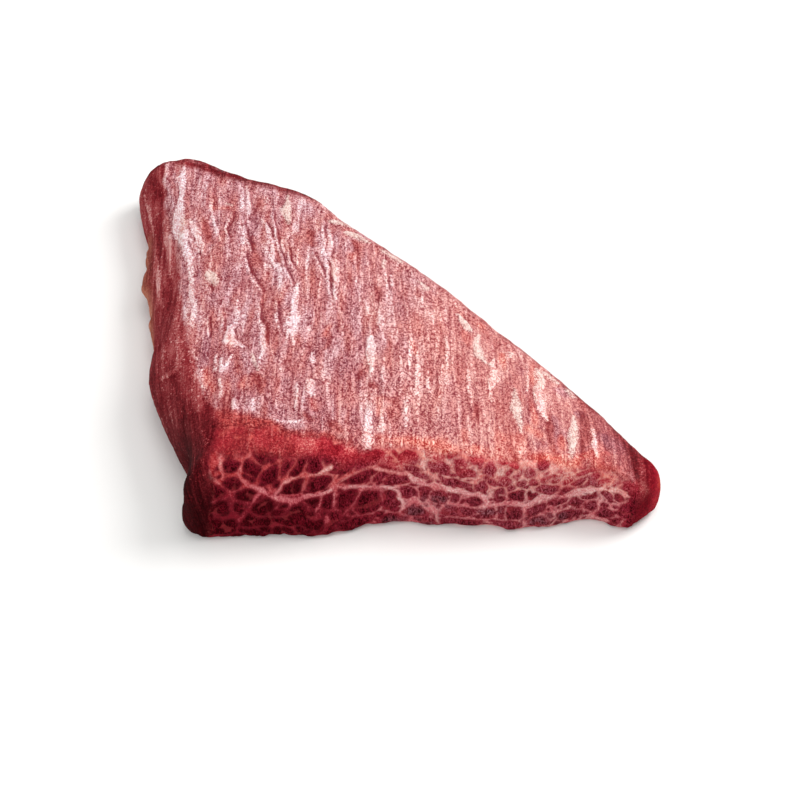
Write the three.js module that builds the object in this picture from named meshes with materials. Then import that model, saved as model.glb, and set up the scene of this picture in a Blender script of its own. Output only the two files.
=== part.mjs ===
// Raw pork secreto: a flat, roughly triangular piece of raw meat, lying on its flat underside.
// The thick end is at the front left. The front is a straight cut across the grain, the left
// side is a rounded flank, the back runs diagonally from the back left lobe to the narrow tip.
// Millimetres, +Z up, longest side along X, the cut face towards -Y. The origin is on the
// underside, at the middle of the bounding box.
import * as THREE from 'three';

// ---- Driving dimensions ----

// The waist is the widest line around the meat. It is a smooth closed curve through these
// stations, counter-clockwise from the front left corner. crest is how far inside the waist
// the wall has turned into the top, height is how high the top stands there.
const WAIST = [
  { x: -68, y: -60, crest: 13, height: 33 },
  { x: -52, y: -59.8, crest: 13, height: 34 },
  { x: -26, y: -59.6, crest: 13, height: 33 },
  { x: 2, y: -54, crest: 12, height: 30 },
  { x: 22, y: -56.7, crest: 11, height: 28 },
  { x: 44, y: -56.6, crest: 10, height: 26 },
  { x: 62, y: -54, crest: 9, height: 23 },
  { x: 76, y: -57, crest: 7, height: 21 },
  { x: 85, y: -46.5, crest: 5, height: 20 },
  { x: 80, y: -38.5, crest: 4.5, height: 19 },
  { x: 67.5, y: -18.3, crest: 6, height: 18 },
  { x: 37, y: 18.5, crest: 8, height: 18 },
  { x: 3, y: 55.5, crest: 8, height: 19 },
  { x: -18, y: 73.5, crest: 8, height: 20 },
  { x: -31, y: 88.5, crest: 9, height: 20 },
  { x: -58, y: 99, crest: 9, height: 21 },
  { x: -80.5, y: 108, crest: 9, height: 22 },
  { x: -95.5, y: 102.5, crest: 11, height: 22 },
  { x: -95, y: 78, crest: 17, height: 23 },
  { x: -90.5, y: 46, crest: 20, height: 25 },
  { x: -86.5, y: 22, crest: 19, height: 27 },
  { x: -86, y: 0, crest: 18, height: 28 },
  { x: -79, y: -22, crest: 15, height: 30 },
  { x: -71, y: -42, crest: 12, height: 32 },
];
const CORNER_STATIONS = [0, 7, 8, 17];

// Each side's wall from the crest down to the ground: [share of the crest distance left to the
// waist, share of the height]. In order: the cut front, the tip, the back edge, the flank.
const WALLS = [
  [[1, 1], [0.76, 0.98], [0.5, 0.89], [0.27, 0.66], [0.1, 0.3], [0, 0.06], [0.12, 0]],
  [[1, 1], [0.62, 0.97], [0.25, 0.82], [0.04, 0.55], [0, 0.3], [0.12, 0.09], [0.5, 0]],
  [[1, 1], [0.6, 0.95], [0.25, 0.8], [0.05, 0.58], [0, 0.36], [0.12, 0.12], [0.6, 0]],
  [[1, 1], [0.68, 0.94], [0.34, 0.78], [0.08, 0.56], [0, 0.36], [0.06, 0.14], [0.25, 0]],
];

const DOME = 3; // how much the middle of the top rises over its rim
const CHORD_REACH = 17; // half the chord whose normal points inwards from the waist
const WALL_BLEND = 12; // stretch in which one side's wall turns into the next

// Lobes and hollows of the walls: a soft round push of the surface out of the meat, or into
// it where depth is negative, that fades with the distance from its centre.
const LOBES = [
  { x: -71, y: -44, z: 12, radius: 7, depth: -5 }, // pocket under the front left corner
  { x: -70, y: -55, z: 4, radius: 6, depth: 1.5 }, // foot below the pocket
  { x: -92, y: 67, z: 8, radius: 9, depth: -2 },
  { x: -91, y: 47, z: 8, radius: 7, depth: 1.5 },
  { x: -87, y: 11, z: 8, radius: 7, depth: -2.5 },
];

// How finely the surface is divided: steps along X and Y, and how many of them from each
// border belong to the walls, in the order of the sides above.
const STEPS_X = 66;
const STEPS_Y = 36;
const WALL_STEPS = [9, 4, 5, 7];
const CURVE_STEPS = 40; // points on the waist between two stations
const SPREAD_SAMPLES = 200; // points used to spread the columns along the front and the back
const SPREAD_BY_X = 0.65; // how far columns follow X instead of the length of the curve

// ---- The waist ----

const clamp01 = (t) => Math.min(Math.max(t, 0), 1);

const smoothStep = (t) => clamp01(t) ** 2 * (3 - 2 * clamp01(t));

const mod = (a, n) => ((a % n) + n) % n;

// Closed curve through the stations. At a station its slope is the mean of the two chords'
// slopes, the shorter chord counting more, and between stations it is a cubic.
function closedCurve(stations) {
  const count = stations.length;
  const rows = stations.map((s) => [s.x, s.y, s.crest, s.height]);
  const chord = rows.map((row, i) => rows[(i + 1) % count].map((v, k) => v - row[k]));
  const length = chord.map((c) => Math.hypot(c[0], c[1]));
  const slope = rows.map((row, i) => {
    const before = mod(i - 1, count);
    const sum = length[i] + length[before];
    return row.map((_, k) =>
      ((chord[before][k] / length[before]) * length[i]
        + (chord[i][k] / length[i]) * length[before]) / sum);
  });
  const curve = [];
  for (let i = 0; i < count; i += 1) {
    const next = (i + 1) % count;
    for (let step = 0; step < CURVE_STEPS; step += 1) {
      const t = step / CURVE_STEPS;
      const rise = t * t * (3 - 2 * t);
      const start = t * (1 - t) ** 2 * length[i];
      const end = t * t * (t - 1) * length[i];
      curve.push(rows[i].map((v, k) =>
        v + rise * chord[i][k] + start * slope[i][k] + end * slope[next][k]));
    }
  }
  return curve;
}

const curve = closedCurve(WAIST);
const distance = [0];
curve.forEach((point, i) => {
  const next = curve[(i + 1) % curve.length];
  distance.push(distance[i] + Math.hypot(next[0] - point[0], next[1] - point[1]));
});
const GIRTH = distance[curve.length];
const corners = CORNER_STATIONS.map((station) => distance[station * CURVE_STEPS]);
corners.push(GIRTH);

// The waist at a distance s along it: [x, y, crest, height].
function waistAt(s) {
  const wanted = mod(s, GIRTH);
  let low = 0;
  let high = curve.length;
  while (high - low > 1) {
    const middle = (low + high) >> 1;
    if (distance[middle] <= wanted) low = middle;
    else high = middle;
  }
  const t = (wanted - distance[low]) / (distance[high] - distance[low]);
  const next = curve[high % curve.length];
  return curve[low].map((v, k) => v + t * (next[k] - v));
}

// ---- The walls ----

// A side's wall profile at a share of the way from the crest (0) to the ground (1).
function wallAt(side, share) {
  const points = WALLS[side];
  const last = points.length - 1;
  const i = Math.min(Math.floor(share * last), last - 1);
  const t = share * last - i;
  const b = points[i];
  const c = points[i + 1];
  return b.map((v, k) => {
    const a = i > 0 ? points[i - 1][k] : 2 * v - c[k];
    const d = i + 2 <= last ? points[i + 2][k] : 2 * c[k] - v;
    return v + 0.5 * t * (c[k] - a
      + t * (2 * a - 5 * v + 4 * c[k] - d + t * (3 * v - a - 3 * c[k] + d)));
  });
}

// The point of the wall at a distance s along the waist: the sides' profiles, mixed near the
// corners, laid out inwards from the waist.
function wallPoint(s, share) {
  const [x, y, crest, height] = waistAt(s);
  const ahead = waistAt(s + CHORD_REACH);
  const behind = waistAt(s - CHORD_REACH);
  const chordX = ahead[0] - behind[0];
  const chordY = ahead[1] - behind[1];
  const chord = Math.hypot(chordX, chordY);
  let inset = 0;
  let rise = 0;
  for (let side = 0; side < WALLS.length; side += 1) {
    const middle = (corners[side] + corners[side + 1]) / 2;
    const half = (corners[side + 1] - corners[side]) / 2;
    const away = Math.abs(mod(s - middle + GIRTH / 2, GIRTH) - GIRTH / 2);
    const weight = smoothStep((half - away) / WALL_BLEND + 0.5);
    const [wallInset, wallRise] = wallAt(side, share);
    inset += weight * wallInset * crest;
    rise += weight * wallRise * height;
  }
  return new THREE.Vector3(
    x - (chordY / chord) * inset,
    y + (chordX / chord) * inset,
    Math.max(rise, 0),
  );
}

// Along the front and the back the columns are spread partly by X, so that they run front to
// back over the top, as the grain of the meat does.
const spreads = corners.slice(0, -1).map((start, side) => {
  if (side === 1 || side === 3) return null;
  const end = corners[side + 1];
  const from = wallPoint(start, 0).x;
  const run = wallPoint(end, 0).x - from;
  const places = [];
  let furthest = 0;
  for (let i = 0; i <= SPREAD_SAMPLES; i += 1) {
    const even = i / SPREAD_SAMPLES;
    const s = start + (end - start) * even;
    furthest = Math.max(furthest, (wallPoint(s, 0).x - from) / run);
    places.push({ s, share: SPREAD_BY_X * furthest + (1 - SPREAD_BY_X) * even });
  }
  return places;
});

// The distance along the waist of a share of one side.
function placeOnSide(side, share) {
  const places = spreads[side];
  if (!places) return corners[side] + (corners[side + 1] - corners[side]) * share;
  const total = places[places.length - 1].share;
  const wanted = share * total;
  const i = Math.max(1, places.findIndex((p) => p.share >= wanted - 1e-9));
  const a = places[i - 1];
  const b = places[i];
  return a.s + (b.s - a.s) * clamp01((wanted - a.share) / (b.share - a.share));
}

const crestPoint = (side, share) => wallPoint(placeOnSide(side, share), 0);

// ---- The whole surface ----

// The top between the four crest lines: every point is blended from the crest points ahead,
// behind, left and right of it, less the corners, plus the dome.
function topPoint(a, b) {
  const point = new THREE.Vector3();
  point.addScaledVector(crestPoint(0, a), 1 - b);
  point.addScaledVector(crestPoint(2, 1 - a), b);
  point.addScaledVector(crestPoint(3, 1 - b), 1 - a);
  point.addScaledVector(crestPoint(1, b), a);
  point.addScaledVector(crestPoint(0, 0), -(1 - a) * (1 - b));
  point.addScaledVector(crestPoint(1, 0), -a * (1 - b));
  point.addScaledVector(crestPoint(2, 0), -a * b);
  point.addScaledVector(crestPoint(3, 0), -(1 - a) * b);
  point.z += DOME * (16 * a * (1 - a) * b * (1 - b)) ** 1.5;
  return point;
}

// The grid point (i, j) of the skin. The grid's borders lie on the ground all around, the
// steps next to them climb the walls, and the rest is the top.
function skinPoint(i, j) {
  const [front, right, back, left] = WALL_STEPS;
  const shares = [
    (front - j) / front,
    (i - (STEPS_X - right)) / right,
    (j - (STEPS_Y - back)) / back,
    (left - i) / left,
  ];
  const share = Math.max(...shares);
  if (share <= 0) {
    return topPoint((i - left) / (STEPS_X - left - right), (j - front) / (STEPS_Y - front - back));
  }
  const side = shares.indexOf(share);
  const across = (i - left * (1 - share)) / (STEPS_X - (left + right) * (1 - share));
  const along = (j - front * (1 - share)) / (STEPS_Y - (front + back) * (1 - share));
  const onSide = [across, along, 1 - across, 1 - along][side];
  return wallPoint(placeOnSide(side, onSide), share);
}

// Closed body: the skin, and a flat underside inside the skin's border. Each grid cell is cut
// along the diagonal that points to the grid's nearest corner, so the walls fold round evenly.
function buildMeat() {
  const points = [];
  const faces = [];
  const at = (i, j) => i * (STEPS_Y + 1) + j;
  for (let i = 0; i <= STEPS_X; i += 1) {
    for (let j = 0; j <= STEPS_Y; j += 1) points.push(skinPoint(i, j));
  }
  for (let i = 0; i < STEPS_X; i += 1) {
    for (let j = 0; j < STEPS_Y; j += 1) {
      const cell = [at(i, j), at(i + 1, j), at(i + 1, j + 1), at(i, j + 1)];
      const [a, b, c, d] = (i < STEPS_X / 2) === (j < STEPS_Y / 2)
        ? cell
        : [...cell.slice(1), cell[0]];
      faces.push(a, b, c);
      faces.push(a, c, d);
    }
  }
  const border = [];
  for (let i = 0; i < STEPS_X; i += 1) border.push(at(i, 0));
  for (let j = 0; j < STEPS_Y; j += 1) border.push(at(STEPS_X, j));
  for (let i = STEPS_X; i > 0; i -= 1) border.push(at(i, STEPS_Y));
  for (let j = STEPS_Y; j > 0; j -= 1) border.push(at(0, j));
  const outline = border.map((index) => new THREE.Vector2(points[index].x, points[index].y));
  THREE.ShapeUtils.triangulateShape(outline, []).forEach(([a, b, c]) => {
    faces.push(border[c], border[b], border[a]);
  });
  const body = new THREE.BufferGeometry().setFromPoints(points);
  body.setIndex(faces);
  return body;
}

// Pushes the surface along its normals by the lobes and hollows. The ground line stays down.
function addLobes(body) {
  body.computeVertexNormals();
  const { position, normal } = body.attributes;
  const point = new THREE.Vector3();
  const outward = new THREE.Vector3();
  for (let i = 0; i < position.count; i += 1) {
    point.fromBufferAttribute(position, i);
    outward.fromBufferAttribute(normal, i);
    let push = 0;
    LOBES.forEach((lobe) => {
      const away = point.distanceTo(lobe) / lobe.radius;
      push += lobe.depth * Math.exp(-away * away);
    });
    outward.z *= clamp01(point.z);
    point.addScaledVector(outward, push);
    position.setXYZ(i, point.x, point.y, Math.max(point.z, 0));
  }
}

// Moves the origin to the middle of the bounding box, on the underside.
function standOnOrigin(body) {
  body.computeBoundingBox();
  const { min, max } = body.boundingBox;
  body.translate(-(min.x + max.x) / 2, -(min.y + max.y) / 2, -min.z);
}

const meatGeometry = buildMeat();
addLobes(meatGeometry);
standOnOrigin(meatGeometry);
meatGeometry.computeVertexNormals();

const rawMeat = new THREE.MeshStandardMaterial({ color: '#a83a3f', roughness: 0.4, metalness: 0 });
const meat = new THREE.Mesh(meatGeometry, rawMeat);
meat.name = 'secreto';

const part = new THREE.Group();
part.add(meat);

export default part;
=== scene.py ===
"""Raw pork secreto: one whole flat piece of marbled meat, lying on a pale studio floor.

The meat is one closed surface, worked out in millimetres in the cutter's frame: X to the tip,
Y away from the cut face, Z up, with the point that the camera aims at as its origin.
"""

import bpy
import numpy as np
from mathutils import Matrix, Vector


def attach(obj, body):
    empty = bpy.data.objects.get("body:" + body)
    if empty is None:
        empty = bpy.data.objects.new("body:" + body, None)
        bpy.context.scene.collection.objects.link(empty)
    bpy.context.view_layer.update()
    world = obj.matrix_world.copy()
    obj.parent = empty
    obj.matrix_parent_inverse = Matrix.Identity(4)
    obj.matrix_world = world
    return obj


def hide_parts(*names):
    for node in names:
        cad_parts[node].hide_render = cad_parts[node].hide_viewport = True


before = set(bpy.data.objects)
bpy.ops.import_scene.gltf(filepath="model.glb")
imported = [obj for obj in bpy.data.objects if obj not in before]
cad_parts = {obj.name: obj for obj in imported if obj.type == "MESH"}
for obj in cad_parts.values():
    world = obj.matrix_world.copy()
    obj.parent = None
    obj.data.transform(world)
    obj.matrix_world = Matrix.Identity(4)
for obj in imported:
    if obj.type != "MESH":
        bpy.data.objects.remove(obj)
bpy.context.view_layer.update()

MM = 0.001
rng = np.random.default_rng(6978)


# ---------------------------------------------------------------- body: driving dimensions

# The waist, the widest line around the meat: x, y, how far inside it the crest lies, and how
# high the top stands there. Counter-clockwise from the front left corner.
WAIST = np.array([
    (-68, -60, 13, 33), (-52, -59.8, 13, 34), (-26, -59.6, 13, 33), (2, -54, 12, 30),
    (22, -56.7, 11, 28), (44, -56.6, 10, 26), (62, -54, 9, 23),
    (76, -57, 7, 21),
    (85, -46.5, 5, 20), (80, -38.5, 4.5, 19), (67.5, -18.3, 6, 18), (37, 18.5, 8, 18),
    (3, 55.5, 8, 19), (-18, 73.5, 8, 20), (-31, 88.5, 9, 20), (-58, 99, 9, 21),
    (-80.5, 108, 9, 22),
    (-95.5, 102.5, 11, 22), (-95, 78, 17, 23), (-90.5, 46, 20, 25), (-86.5, 22, 19, 27),
    (-86, 0, 18, 28), (-79, -22, 15, 30), (-71, -42, 12, 32)])
FRONT, TIP, BACK, FLANK = range(4)
CORNER_STATIONS = [0, 7, 8, 17]

# Each side's wall from the crest to the ground: share of the crest distance, share of height.
WALLS = np.array([
    [(1, 1), (.76, .98), (.5, .89), (.27, .66), (.1, .3), (0, .06), (.12, 0)],
    [(1, 1), (.62, .97), (.25, .82), (.04, .55), (0, .3), (.12, .09), (.5, 0)],
    [(1, 1), (.6, .95), (.25, .8), (.05, .58), (0, .36), (.12, .12), (.6, 0)],
    [(1, 1), (.68, .94), (.34, .78), (.08, .56), (0, .36), (.06, .14), (.25, 0)]])
USUAL_CREST, USUAL_HEIGHT = 12, 28  # sizes at which the shares keep their proportions
DOME = 3  # how far the middle of the top stands above its crest lines
CHORD_REACH = 17  # each way along the waist, for the direction in which a wall looks
WALL_BLEND = 12  # length of waist along which the walls of two sides mix

# Lobes and hollows of the walls: x, y, z, radius, how far the surface is pushed out.
LOBES = [(-71, -44, 12, 7, -5), (-70, -55, 4, 6, 1.5), (-92, 67, 8, 9, -2),
         (-91, 47, 8, 7, 1.5), (-87, 11, 8, 7, -2.5)]

STEPS_X, STEPS_Y = 416, 232  # of the whole skin
WALL_STEPS = [84, 12, 16, 46]  # of those, the ones on each side's wall
CURVE_STEPS = 40  # between two stations of the waist
PROFILE_SAMPLES, SIDE_SAMPLES = 301, 401
SPREAD_BY_X = 0.65  # how far columns follow X rather than the length of the waist


# ---------------------------------------------------------------- small numeric helpers

def smooth(low, high, value):
    """0 below low, 1 above high, and between them three t squared less two t cubed."""
    t = np.clip((value - low) / (high - low), 0, 1)
    return t * t * (3 - 2 * t)


def lattice(i, j, k, seed):
    """A repeatable number from -1 to 1 for each whole-number point: the coordinates are
    multiplied by large odd numbers, mixed, and the low bits are scaled."""
    h = (i * 73856093) ^ (j * 19349663) ^ (k * 83492791) ^ (seed * 40503551)
    h = (h ^ (h >> 13)) * 1274126177
    h = (h ^ (h >> 16)) & 0xFFFF
    return h / 32767.5 - 1


def noise(a, b, c=0.0, seed=0):
    """Smooth noise from about -1 to 1 with features one unit wide: random numbers at the
    eight corners of the unit cell, mixed by the place in the cell."""
    a, b, c = np.broadcast_arrays(a, b, c)
    cell = [np.floor(v).astype(np.int64) for v in (a, b, c)]
    fa, fb, fc = (smooth(0, 1, v - w) for v, w in zip((a, b, c), cell))
    total = 0
    for i in (0, 1):
        for j in (0, 1):
            for k in (0, 1):
                weight = ((fa if i else 1 - fa) * (fb if j else 1 - fb) * (fc if k else 1 - fc))
                total = total + weight * lattice(cell[0] + i, cell[1] + j, cell[2] + k, seed)
    return total


# ---------------------------------------------------------------- body: waist and walls

def closed_curve(stations):
    """Closed curve through the stations: a station's slope is the mean of its two chords'
    slopes, the shorter counting more, and between two stations the curve is a cubic."""
    chord = np.roll(stations, -1, 0) - stations
    length = np.hypot(chord[:, 0], chord[:, 1])[:, None]
    before = np.roll(length, 1, 0)
    slope = (np.roll(chord / length, 1, 0) * length + chord / length * before) / (length + before)
    t = (np.arange(CURVE_STEPS) / CURVE_STEPS)[None, :, None]
    start = t * (1 - t) ** 2 * (slope * length)[:, None]
    end = t * t * (t - 1) * (np.roll(slope, -1, 0) * length)[:, None]
    curve = stations[:, None] + t * t * (3 - 2 * t) * chord[:, None] + start + end
    return curve.reshape(-1, stations.shape[1])


curve = closed_curve(WAIST)
closed = np.vstack([curve, curve[:1]])
distance = np.append(0, np.cumsum(np.hypot(*np.diff(closed[:, :2], axis=0).T)))
GIRTH = distance[-1]
corners = [distance[s * CURVE_STEPS] for s in CORNER_STATIONS] + [GIRTH]


def waist_at(s):
    """x, y, crest and height of the waist at a distance s along it."""
    s = np.mod(s, GIRTH)
    return np.stack([np.interp(s, distance, closed[:, k]) for k in range(4)], -1)


def spline(points, place):
    """Catmull-Rom curve through the points, at a place counted in points from the first."""
    i = np.minimum(place.astype(int), len(points) - 2)
    t = (place - i)[..., None]
    ends = np.vstack([2 * points[0] - points[1], points, 2 * points[-1] - points[-2]])
    a, b, c, d = ends[i], ends[i + 1], ends[i + 2], ends[i + 3]
    return b + 0.5 * t * (c - a + t * (2 * a - 5 * b + 4 * c - d + t * (3 * b - a - 3 * c + d)))


def wall_at(side, share):
    """A side's wall profile at a share of its length from the crest (0) to the ground (1)."""
    fine = np.linspace(0, len(WALLS[side]) - 1, PROFILE_SAMPLES)
    steps = np.diff(spline(WALLS[side], fine), axis=0) * (USUAL_CREST, USUAL_HEIGHT)
    length = np.append(0, np.cumsum(np.hypot(*steps.T)))
    return spline(WALLS[side], np.interp(share * length[-1], length, fine))


def wall_point(s, share):
    """Point of the wall at a distance s along the waist: the sides' profiles, mixed near the
    corners, laid out inwards at right angles to the waist's chord."""
    x, y, crest, height = np.moveaxis(waist_at(s), -1, 0)
    chord = (waist_at(s + CHORD_REACH) - waist_at(s - CHORD_REACH))[..., :2]
    chord = chord / np.linalg.norm(chord, axis=-1, keepdims=True)
    profile = 0
    for side in range(4):
        middle = (corners[side] + corners[side + 1]) / 2
        half = (corners[side + 1] - corners[side]) / 2
        away = np.abs(np.mod(s - middle + GIRTH / 2, GIRTH) - GIRTH / 2)
        weight = smooth(-WALL_BLEND / 2, WALL_BLEND / 2, half - away)
        profile = profile + weight[..., None] * wall_at(side, share)
    inset = profile[..., 0] * crest
    rise = np.maximum(profile[..., 1] * height, 0)
    return np.stack([x - chord[..., 1] * inset, y + chord[..., 0] * inset, rise], -1)


def place_on_side(side, share):
    """Distance along the waist of a share of one side. Along the front and the back, columns
    follow X in part, so that they run with the grain over the top."""
    start, end = corners[side], corners[side + 1]
    if side in (TIP, FLANK):
        return start + (end - start) * share
    even = np.linspace(0, 1, SIDE_SAMPLES)
    x = wall_point(start + (end - start) * even, np.zeros(SIDE_SAMPLES))[:, 0]
    by_x = np.maximum.accumulate((x - x[0]) / (x[-1] - x[0]))
    mixed = SPREAD_BY_X * by_x + (1 - SPREAD_BY_X) * even
    return start + (end - start) * np.interp(share * mixed[-1], mixed, even)


def crest_point(side, share):
    """Point of a side's crest line at a share of the side."""
    return wall_point(place_on_side(side, share), np.zeros_like(share))


# ---------------------------------------------------------------- body: the whole skin

def top_points(a, b):
    """The top between the four crest lines, a across and b from front to back: blended from
    the crest points on the four sides, less the corners, plus the dome."""
    corner = [crest_point(side, np.zeros(1)) for side in range(4)]
    front, tip = crest_point(FRONT, a), crest_point(TIP, b)
    back, flank = crest_point(BACK, 1 - a), crest_point(FLANK, 1 - b)
    a, b = a[:, None], b[:, None]
    points = (1 - b) * front + b * back + (1 - a) * flank + a * tip
    points -= (1 - a) * (1 - b) * corner[0] + a * (1 - b) * corner[1]
    points -= a * b * corner[2] + (1 - a) * b * corner[3]
    points[:, 2] += (DOME * (16 * a * (1 - a) * b * (1 - b)) ** 1.5)[:, 0]
    return points


def skin_grid():
    """The skin as a grid whose border lies on the ground: the steps next to each border climb
    that side's wall, along ever smaller rectangles, and the steps inside are the top."""
    front, tip, back, flank = WALL_STEPS
    i, j = np.meshgrid(np.arange(STEPS_X + 1), np.arange(STEPS_Y + 1), indexing="ij")
    down = np.stack([(front - j) / front, (i - STEPS_X + tip) / tip,
                     (j - STEPS_Y + back) / back, (flank - i) / flank])
    share = np.clip(down.max(0), 0, 1)
    side = down.argmax(0)
    across = (i - flank * (1 - share)) / (STEPS_X - (flank + tip) * (1 - share))
    along = (j - front * (1 - share)) / (STEPS_Y - (front + back) * (1 - share))
    points = np.zeros(i.shape + (3,))
    for number, place in enumerate((across, along, 1 - across, 1 - along)):
        on_side = (side == number) & (share > 0)
        points[on_side] = wall_point(place_on_side(number, place[on_side]), share[on_side])
    top = share == 0
    points[top] = top_points(across[top], along[top])
    return points, np.clip(down, 0, 1)


def grid_normals(points):
    """Unit normals of a grid: the cross product of its two directions at each point."""
    normal = np.cross(np.gradient(points, axis=0), np.gradient(points, axis=1))
    return normal / np.maximum(np.linalg.norm(normal, axis=-1, keepdims=True), 1e-9)


def push(points, normals, amount):
    """The points moved along their normals. On the ground they only slide, so that the sole
    stays flat, and none goes below it."""
    step = normals * amount[..., None]
    step[..., 2] *= np.clip(points[..., 2], 0, 1)
    moved = points + step
    moved[..., 2] = np.maximum(moved[..., 2], 0)
    return moved


skin, down = skin_grid()
away = [np.linalg.norm(skin - lobe[:3], axis=-1) / lobe[3] for lobe in LOBES]
skin = push(skin, grid_normals(skin), sum(l[4] * np.exp(-a * a) for l, a in zip(LOBES, away)))
CENTRE = (skin.min((0, 1)) + skin.max((0, 1))) / 2 * (1, 1, 0)
normals = grid_normals(skin)
x, y, z = np.moveaxis(skin, -1, 0)


# ---------------------------------------------------------------- grain coordinates

# u counts millimetres across the grain, that is X and then on down the flank, and v along it,
# that is Y and then on down the other walls.
FLANK_LENGTH, WALL_LENGTH = 16, 20
u = x - FLANK_LENGTH * down[FLANK]
v = y + WALL_LENGTH * (np.maximum(down[BACK], down[TIP]) - down[FRONT])


# ---------------------------------------------------------------- zones

# Where the fibrous top ends and the smooth flank begins: y and x.
FLANK_EDGE = np.array([(-58, -57), (-46, -56), (-36, -57.5), (-26, -62.3), (-17, -64.6), (-8, -67),
                       (0, -70), (8, -71), (24, -74), (34, -75), (45, -77), (56, -79.6),
                       (62, -82), (69, -84), (76, -84.5), (87, -85.5), (95, -86), (108, -87)])
# How far behind the front crest the cut face ends: x and distance.
CUT_EDGE = np.array([(-60, 5.5), (-50, 4.6), (-38, 2.4), (-25, .6), (-13, -3), (1, -4.6), (16, -3.2)])
# How far down the back and tip walls the dark rim begins: x and share of the wall.
RIM_EDGE = np.array([(-60, -.02), (-36, 0), (-28, .2), (30, .2), (50, .1), (78, .02)])
# The stations of the waist along the cut face.
FRONT_X, FRONT_Y, FRONT_CREST, FRONT_HEIGHT = WAIST[:CORNER_STATIONS[TIP] + 1].T


def crest_height(at_x):
    """Height of the meat over its cut face, along X."""
    return np.interp(at_x, FRONT_X, FRONT_HEIGHT)


# Each zone is a mask from 0 to 1 with a ragged edge: the cut face and the clear band along
# its top, the reddened strip of top behind it, the flank, the rim and the crimson tip.
up = normals[..., 2]
height_share = z / crest_height(x)
from_crest = y - np.interp(x, FRONT_X, FRONT_Y + FRONT_CREST)
ragged = noise(x / 6, y / 6, 0, 41) + .6 * noise(x / 2.2, y / 3, 0, 44)
on_front = (y < -25) * smooth(-.14, -.01, down[FRONT] - .9 * down[FLANK])
facing = smooth(.5, .85, -normals[..., 1] / np.sqrt(1 - np.clip(up, -.999, .999) ** 2))
cut_edge = np.interp(x, *CUT_EDGE.T)
left_end = smooth(-18, -42, x)
grained = smooth(-1.2, 1.2, from_crest - cut_edge + (1.1 + 1.3 * left_end) * ragged)
cut = np.maximum(facing, smooth(.8, .95, up)) * on_front * (1 - grained)
cut *= smooth(-62.5, -58.5, x + 1.6 * noise(x / 5, z / 5, 0, 45) + .12 * (25 - z))
band = cut * smooth(-6.4, -3.4, from_crest + 1.5 * noise(x / 6, z / 6, 0, 42)
                    + 1.8 * smooth(-30, -12, x) * smooth(22, 6, x))
cut -= band * left_end * (.4 + .4 * noise(x / 3.5, y / 3.5, z / 3.5, 54))
band = np.maximum(band, cut * smooth(.62, .92, height_share) * smooth(-5, 20, x)
                  * (.45 + .35 * noise(x / 4, z / 4, 0, 55)))
reddened = (smooth(4, 0, from_crest - cut_edge + 2.2 * ragged - 8 * smooth(-32, -56, x))
            * smooth(0, -22, x))
past_edge = np.interp(y, *FLANK_EDGE.T) - x
flank = smooth(-.4, 2.2, past_edge + .9 * ragged) * (1 - smooth(.6, 1, cut))
past_rim = np.maximum(down[BACK], down[TIP]) - np.interp(x, *RIM_EDGE.T)
rim = smooth(0, .16, past_rim + .04 * ragged) * (1 - cut)
tip_end = smooth(75, 79.5, x - .25 * (z - 12) + .8 * noise(x / 4, z / 4, 0, 46))
tip_end *= smooth(-32, -42, y + 2 * noise(y / 4, z / 4, 0, 50))


# ---------------------------------------------------------------- muscle bundles

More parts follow.
